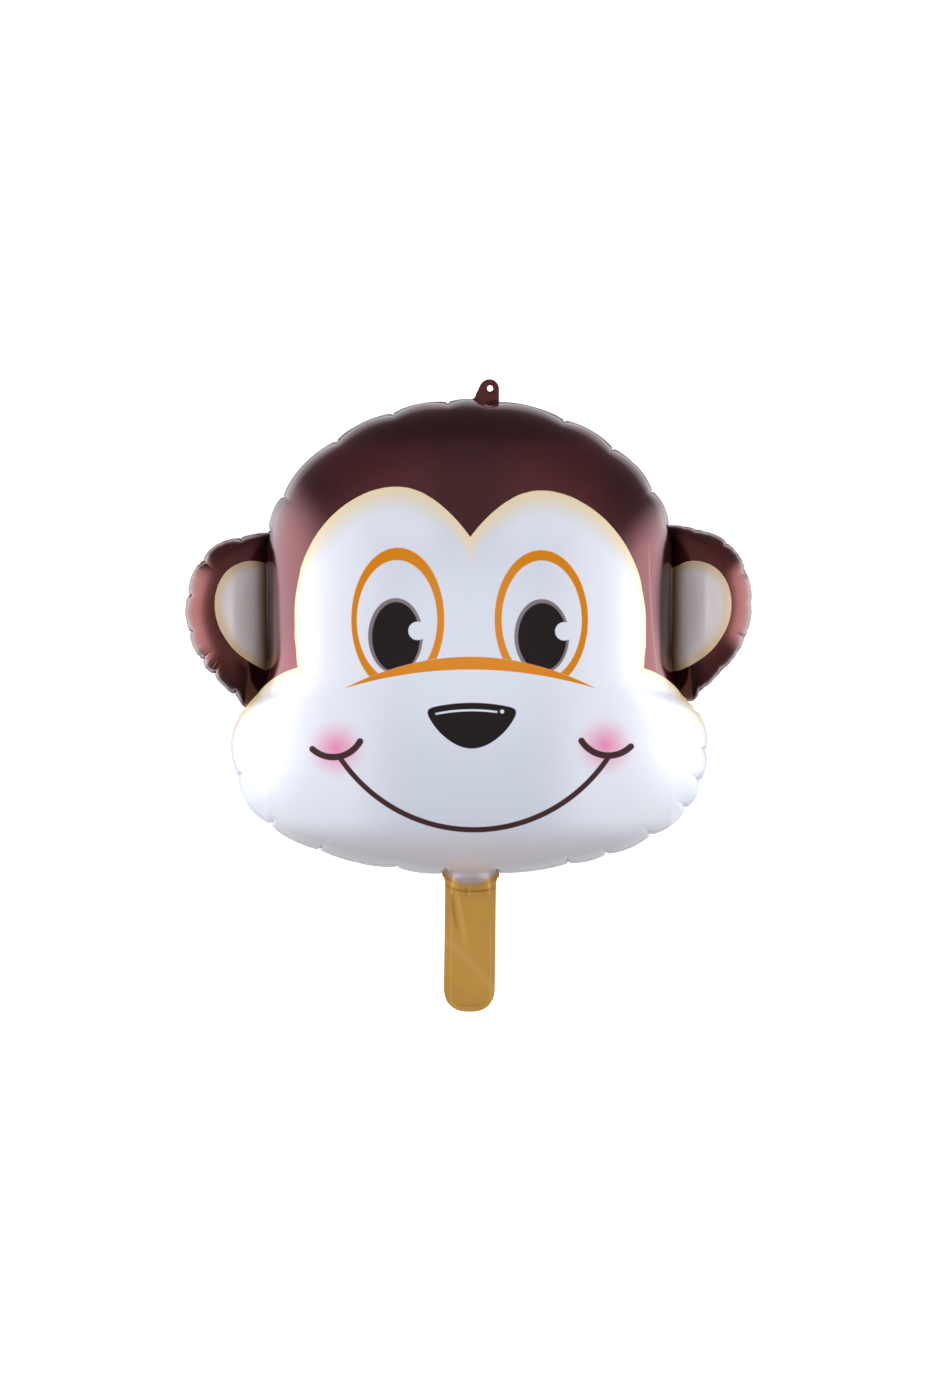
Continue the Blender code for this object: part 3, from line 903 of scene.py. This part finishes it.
drawn = bpy.data.curves.new("tab outline", "CURVE")
drawn.dimensions = "2D"
drawn.fill_mode = "BOTH"
drawn.extrude = CUTTER_HALF_HEIGHT
for outline in (tab_outline, tab_hole):
    line = drawn.splines.new("POLY")
    line.points.add(len(outline) - 1)
    line.use_cyclic_u = True
    for point, (x, y) in zip(line.points, outline):
        point.co = (x, y, 0, 1)
cutter = bpy.data.objects.new("tab outline", drawn)
bpy.context.scene.collection.objects.link(cutter)
bpy.ops.object.select_all(action="DESELECT")
cutter.select_set(True)
bpy.context.view_layer.objects.active = cutter
bpy.ops.object.convert(target="MESH")
bpy.ops.object.mode_set(mode="EDIT")
bpy.ops.mesh.select_all(action="SELECT")
bpy.ops.mesh.remove_doubles(threshold=MERGE_DISTANCE)
bpy.ops.mesh.normals_make_consistent(inside=False)
bpy.ops.object.mode_set(mode="OBJECT")
for vertex in cutter.data.vertices:
    vertex.co.z = weld_height + (CUTTER_HALF_HEIGHT if vertex.co.z > 0 else -CUTTER_HALF_HEIGHT)

bpy.ops.object.select_all(action="DESELECT")
bpy.ops.mesh.primitive_grid_add(x_subdivisions=TAB_CELLS[0], y_subdivisions=TAB_CELLS[1], size=1)
tab = bpy.context.object
tab.name = "hanging_tab"
for vertex in tab.data.vertices:
    x, y = vertex.co.x * TAB_GRID[0], vertex.co.y * TAB_GRID[1]
    fold = sum(rise * sin(across * x + up * y + start) for rise, across, up, start in TAB_FOLDS)
    vertex.co = (tab_x + x, tab_end[1] + y, weld_height - TAB_THICKNESS / 2 + fold)
wall = tab.modifiers.new("both sheets", "SOLIDIFY")
wall.thickness = TAB_THICKNESS
wall.offset = 1
bpy.ops.object.modifier_apply(modifier=wall.name)
cut = tab.modifiers.new("cut out", "BOOLEAN")
cut.operation = "INTERSECT"
cut.solver = "MANIFOLD"
cut.object = cutter
bpy.ops.object.modifier_apply(modifier=cut.name)
bpy.data.objects.remove(cutter)
bpy.ops.object.shade_smooth_by_angle(angle=radians(TAB_SMOOTH_ANGLE))

tab_print = Print("tab foil", TAB_BROWN)
tab_print.shader.inputs["Base Color"].default_value = (*TAB_BROWN, 1)
tab_print.shader.inputs["Metallic"].default_value = TAB_METALLIC
tab_grain = tab_print.noise(TAB_GRAIN_SCALE, TAB_GRAIN_DETAIL)
tab_print.set("Roughness", tab_grain * TAB_GRAIN_ROUGHNESS + TAB_ROUGHNESS)
tab.data.materials.clear()
tab.data.materials.append(tab_print.material)
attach(tab, "root")
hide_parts("foil_envelope")

# The inflation tail. Under the chin the sheets run on as a flat gold sleeve, welded down both
# sides and round its end. The gas went in between the welds, so its neck still stands open.
TAIL_WIDTH = 0.051
TAIL_LENGTH = 0.1355
TAIL_OFFSET = 0.0012
TAIL_LEAN = -0.7
TAIL_END_RADIUS = 0.025
TAIL_END_SQUARENESS = 0.83
TAIL_FLARE, TAIL_FLARE_LENGTH = 0.0030, 0.0085
TAIL_ROOT = 0.016
TAIL_WELD_WIDTH = 0.0058
TAIL_WELD_HALF_THICKNESS = 0.0003
TAIL_PUFF = 0.0011
NECK_PUFF = 0.020
NECK_LENGTH, NECK_POWER = 0.0095, 1.4
TAIL_RIPPLES = ((0.0006, 0, 60, 1), (0.0005, 90, 150, 0))  # as the tab's folds
TAIL_COLUMNS, TAIL_ROWS, TAIL_END_ROWS = 72, 120, 26
TAIL_MERGE_DISTANCE = 0.00002
TAIL_SMOOTH_ANGLE = 60


def tail_half_width(y, inset=0.0):
    """Half the width of the tail at a height above the head's edge."""
    half, end_radius = TAIL_WIDTH / 2 - inset, TAIL_END_RADIUS - inset
    past_end = (TAIL_END_RADIUS - TAIL_LENGTH - y) / end_radius
    if past_end > 0:
        power = 2 / TAIL_END_SQUARENESS
        return half * max(0.0, 1 - min(1.0, past_end) ** power) ** (1 / power)
    if y > -TAIL_FLARE_LENGTH and not inset:
        return half + TAIL_FLARE * (1 - sqrt(1 - (min(0.0, y) / TAIL_FLARE_LENGTH + 1) ** 2))
    return half


def tail_fold(x, y):
    """How far the front sheet's folds lift it, the head's edge being at y = 0."""
    bow = y + 0.0148 - 0.003 * ((x - 0.002) / 0.02) ** 2
    knot = np.hypot((x + 0.0015) * 1.5, (y + 0.0088) * 0.6)
    pleat = x + 0.0195 + (y + 0.0156) * 0.157
    slant = x + y + 0.088
    folds = (
        (0.0010, (bow - 0.0013) / 0.0014, 0),
        (-0.0010, (bow + 0.0010) / 0.0012, 0),
        (0.0014, knot / 0.003, 0),
        (-0.0011, pleat / 0.0016, (y + 0.035) / 0.018),
        (0.0008, (pleat - 0.0042) / 0.0018, (y + 0.050) / 0.026),
        (0.0005, slant / 0.006, 0),
    )  # height, and how many widths away its ridge and how many lengths away its middle is
    return sum(rise * np.exp(-(aside**2) - along**2) for rise, aside, along in folds)


straight = np.linspace(TAIL_ROOT, TAIL_END_RADIUS - TAIL_LENGTH, TAIL_ROWS, endpoint=False)
round_end = np.sin(np.linspace(0, pi / 2, TAIL_END_ROWS)) ** TAIL_END_SQUARENESS
tail_rows = np.concatenate([straight, TAIL_END_RADIUS - TAIL_LENGTH - TAIL_END_RADIUS * round_end])

bpy.ops.object.select_all(action="DESELECT")
bpy.ops.mesh.primitive_grid_add(x_subdivisions=TAIL_COLUMNS, y_subdivisions=len(tail_rows) - 1, size=2)
tail = bpy.context.object
tail.name = "inflation_tail"
bpy.ops.object.mode_set(mode="EDIT")
bpy.ops.mesh.select_all(action="SELECT")
bpy.ops.mesh.duplicate()
bpy.ops.mesh.flip_normals()
bpy.ops.object.mode_set(mode="OBJECT")
one_sheet = len(tail.data.vertices) // 2
lean_cos, lean_sin = cos(radians(TAIL_LEAN)), sin(radians(TAIL_LEAN))
for n, vertex in enumerate(tail.data.vertices):
    row = round((1 - vertex.co.y) / 2 * (len(tail_rows) - 1))
    across, y = sin(vertex.co.x * pi / 2), tail_rows[row]
    x = across * tail_half_width(y)
    channel = tail_half_width(y, TAIL_WELD_WIDTH)
    bulge = sqrt(max(0.0, 1 - (x / channel) ** 2)) if channel > 0 else 0.0
    puff = TAIL_PUFF + NECK_PUFF * np.exp(-((max(0.0, -y) / NECK_LENGTH) ** NECK_POWER))
    border = abs(vertex.co.x) > 0.999 or row in (0, len(tail_rows) - 1)
    height = 0.0 if border else TAIL_WELD_HALF_THICKNESS + bulge * puff
    if n < one_sheet and not border:
        height += bulge * tail_fold(x, y)
    ripple = sum(rise * sin(out * x + up * y + start) for rise, out, up, start in TAIL_RIPPLES)
    vertex.co = (
        TAIL_OFFSET + x * lean_cos - y * lean_sin,
        -head_edge(-90) + x * lean_sin + y * lean_cos,
        weld_height + ripple + (height if n < one_sheet else -height),
    )
bpy.ops.object.mode_set(mode="EDIT")
bpy.ops.mesh.select_all(action="SELECT")
bpy.ops.mesh.remove_doubles(threshold=TAIL_MERGE_DISTANCE)
bpy.ops.mesh.normals_make_consistent(inside=False)
bpy.ops.object.mode_set(mode="OBJECT")
bpy.ops.object.shade_smooth_by_angle(angle=radians(TAIL_SMOOTH_ANGLE))

GOLD = (0.515, 0.28, 0.055)
DEEP_GOLD = (0.395, 0.18, 0.025)
PALE_GOLD = (0.615, 0.395, 0.11)
SHADED_CHIN_PEARL = (0.43, 0.385, 0.42)
CHIN_DROP, CHIN_SAG, CHIN_FADE = -233.5, 0.018, (-4, 3)
SHOULDER_PLACE, SHOULDER_FADE = (18.5, 23.5), (-241, -228)
PLEAT_PLACE, PLEAT_TOP, PLEAT_SLANT = -19.5, -242, 0.157
PLEAT_WIDTH, PLEAT_MIDDLE, PLEAT_HALF_LENGTH = 2.6, -262, 24
GLEAM_PLACE, GLEAM_WIDTH, GLEAM_FADE = 6, 4, (-318, -270)
BOW_PLACE, BOW_HALF_WIDTH, BOW_SAG = (2, -241.8), 20, 3
BOW_WIDTH, ABOVE_BOW, ABOVE_BOW_WIDTH = 1.5, 5, 3.5
KNOT_STROKES = ((-4.5, DEEP_GOLD), (-1.6, PALE_GOLD))
KNOT_MIDDLE, KNOT_HALF_LENGTH, KNOT_WIDTH = -241, 6, 1.7
SLANT_PLACE, SLANT_WIDTH = -314.5, 11
SEAM_FADE, SEAM_START = (1.2, 0.2), (-262, -275)
STROKE_COVER, GLEAM_COVER, PALE_STROKE_COVER, SLANT_COVER = 0.8, 0.6, 0.5, 0.35
TAIL_METALLIC, CHIN_METALLIC_LOSS, CHIN_METALLIC_FADE = 0.25, 0.15, (-3.5, 3.5)
TAIL_ROUGHNESS, TAIL_GRAIN_ROUGHNESS = 0.36, 0.16
TAIL_GRAIN_SCALE, TAIL_GRAIN_DETAIL = 40, 3


def stroke(across, width):
    """From 1 in the middle of a stroke to 0 a width away on either side."""
    return (across / width).size().fade(1, 0)


tail_print = Print("tail foil", GOLD)
tail_u, tail_v = tail_print.u - TAIL_OFFSET * 1000, tail_print.v
# Painted shade: deeper gold on the corners where the neck flares.
shoulder = tail_u.size().fade(*SHOULDER_PLACE) * tail_v.fade(*SHOULDER_FADE)
tail_print.lay(DEEP_GOLD, shoulder)
# Painted shade along the pleat, and a painted highlight, the gleam, beside it.
pleat = tail_u - PLEAT_PLACE + (tail_v - PLEAT_TOP) * PLEAT_SLANT
along_pleat = (1 - ((tail_v - PLEAT_MIDDLE) / PLEAT_HALF_LENGTH).size()).fade(0, 0.6)
tail_print.lay(DEEP_GOLD, stroke(pleat, PLEAT_WIDTH) * along_pleat * STROKE_COVER)
gleam = stroke(pleat - GLEAM_PLACE, GLEAM_WIDTH) * tail_v.fade(*GLEAM_FADE)
tail_print.lay(PALE_GOLD, gleam * GLEAM_COVER)
# Painted shade in the bow crease, with a painted highlight above it.
bow = tail_v - BOW_PLACE[1] - ((tail_u - BOW_PLACE[0]) / BOW_HALF_WIDTH) ** 2 * BOW_SAG
tail_print.lay(DEEP_GOLD, stroke(bow, BOW_WIDTH) * STROKE_COVER)
tail_print.lay(PALE_GOLD, stroke(bow - ABOVE_BOW, ABOVE_BOW_WIDTH) * PALE_STROKE_COVER)
# Painted shade and a painted highlight along the knot fold.
along_knot = (1 - ((tail_v - KNOT_MIDDLE) / KNOT_HALF_LENGTH).size()).fade(0, 0.5)
for knot_u, shade_of_gold in KNOT_STROKES:
    tail_print.lay(shade_of_gold, stroke(tail_u - knot_u, KNOT_WIDTH) * along_knot * STROKE_COVER)
# A painted highlight along the slanting fold.
slant = tail_u + tail_v - SLANT_PLACE
tail_print.lay(PALE_GOLD, stroke(slant, SLANT_WIDTH) * SLANT_COVER)
# A paler line along the inside of each side weld.
seam = (tail_u.size() - (TAIL_WIDTH / 2 - TAIL_WELD_WIDTH) * 1000).size()
tail_print.lay(PALE_GOLD, seam.fade(*SEAM_FADE) * tail_v.fade(*SEAM_START) * PALE_STROKE_COVER)
# The chin's pearly white runs onto the neck, greyed there as painted shade.
chin = tail_v - (tail_u**2 * CHIN_SAG + CHIN_DROP)
tail_print.lay(SHADED_CHIN_PEARL, chin.fade(*CHIN_FADE))
tail_print.tree.links.new(tail_print.colour, tail_print.shader.inputs["Base Color"])
chin_cover = chin.fade(*CHIN_METALLIC_FADE)
tail_print.set("Metallic", TAIL_METALLIC - chin_cover * CHIN_METALLIC_LOSS)
tail_grain = tail_print.noise(TAIL_GRAIN_SCALE, TAIL_GRAIN_DETAIL)
tail_print.set("Roughness", tail_grain * TAIL_GRAIN_ROUGHNESS + TAIL_ROUGHNESS)
tail.data.materials.append(tail_print.material)
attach(tail, "root")
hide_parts("foil_envelope")
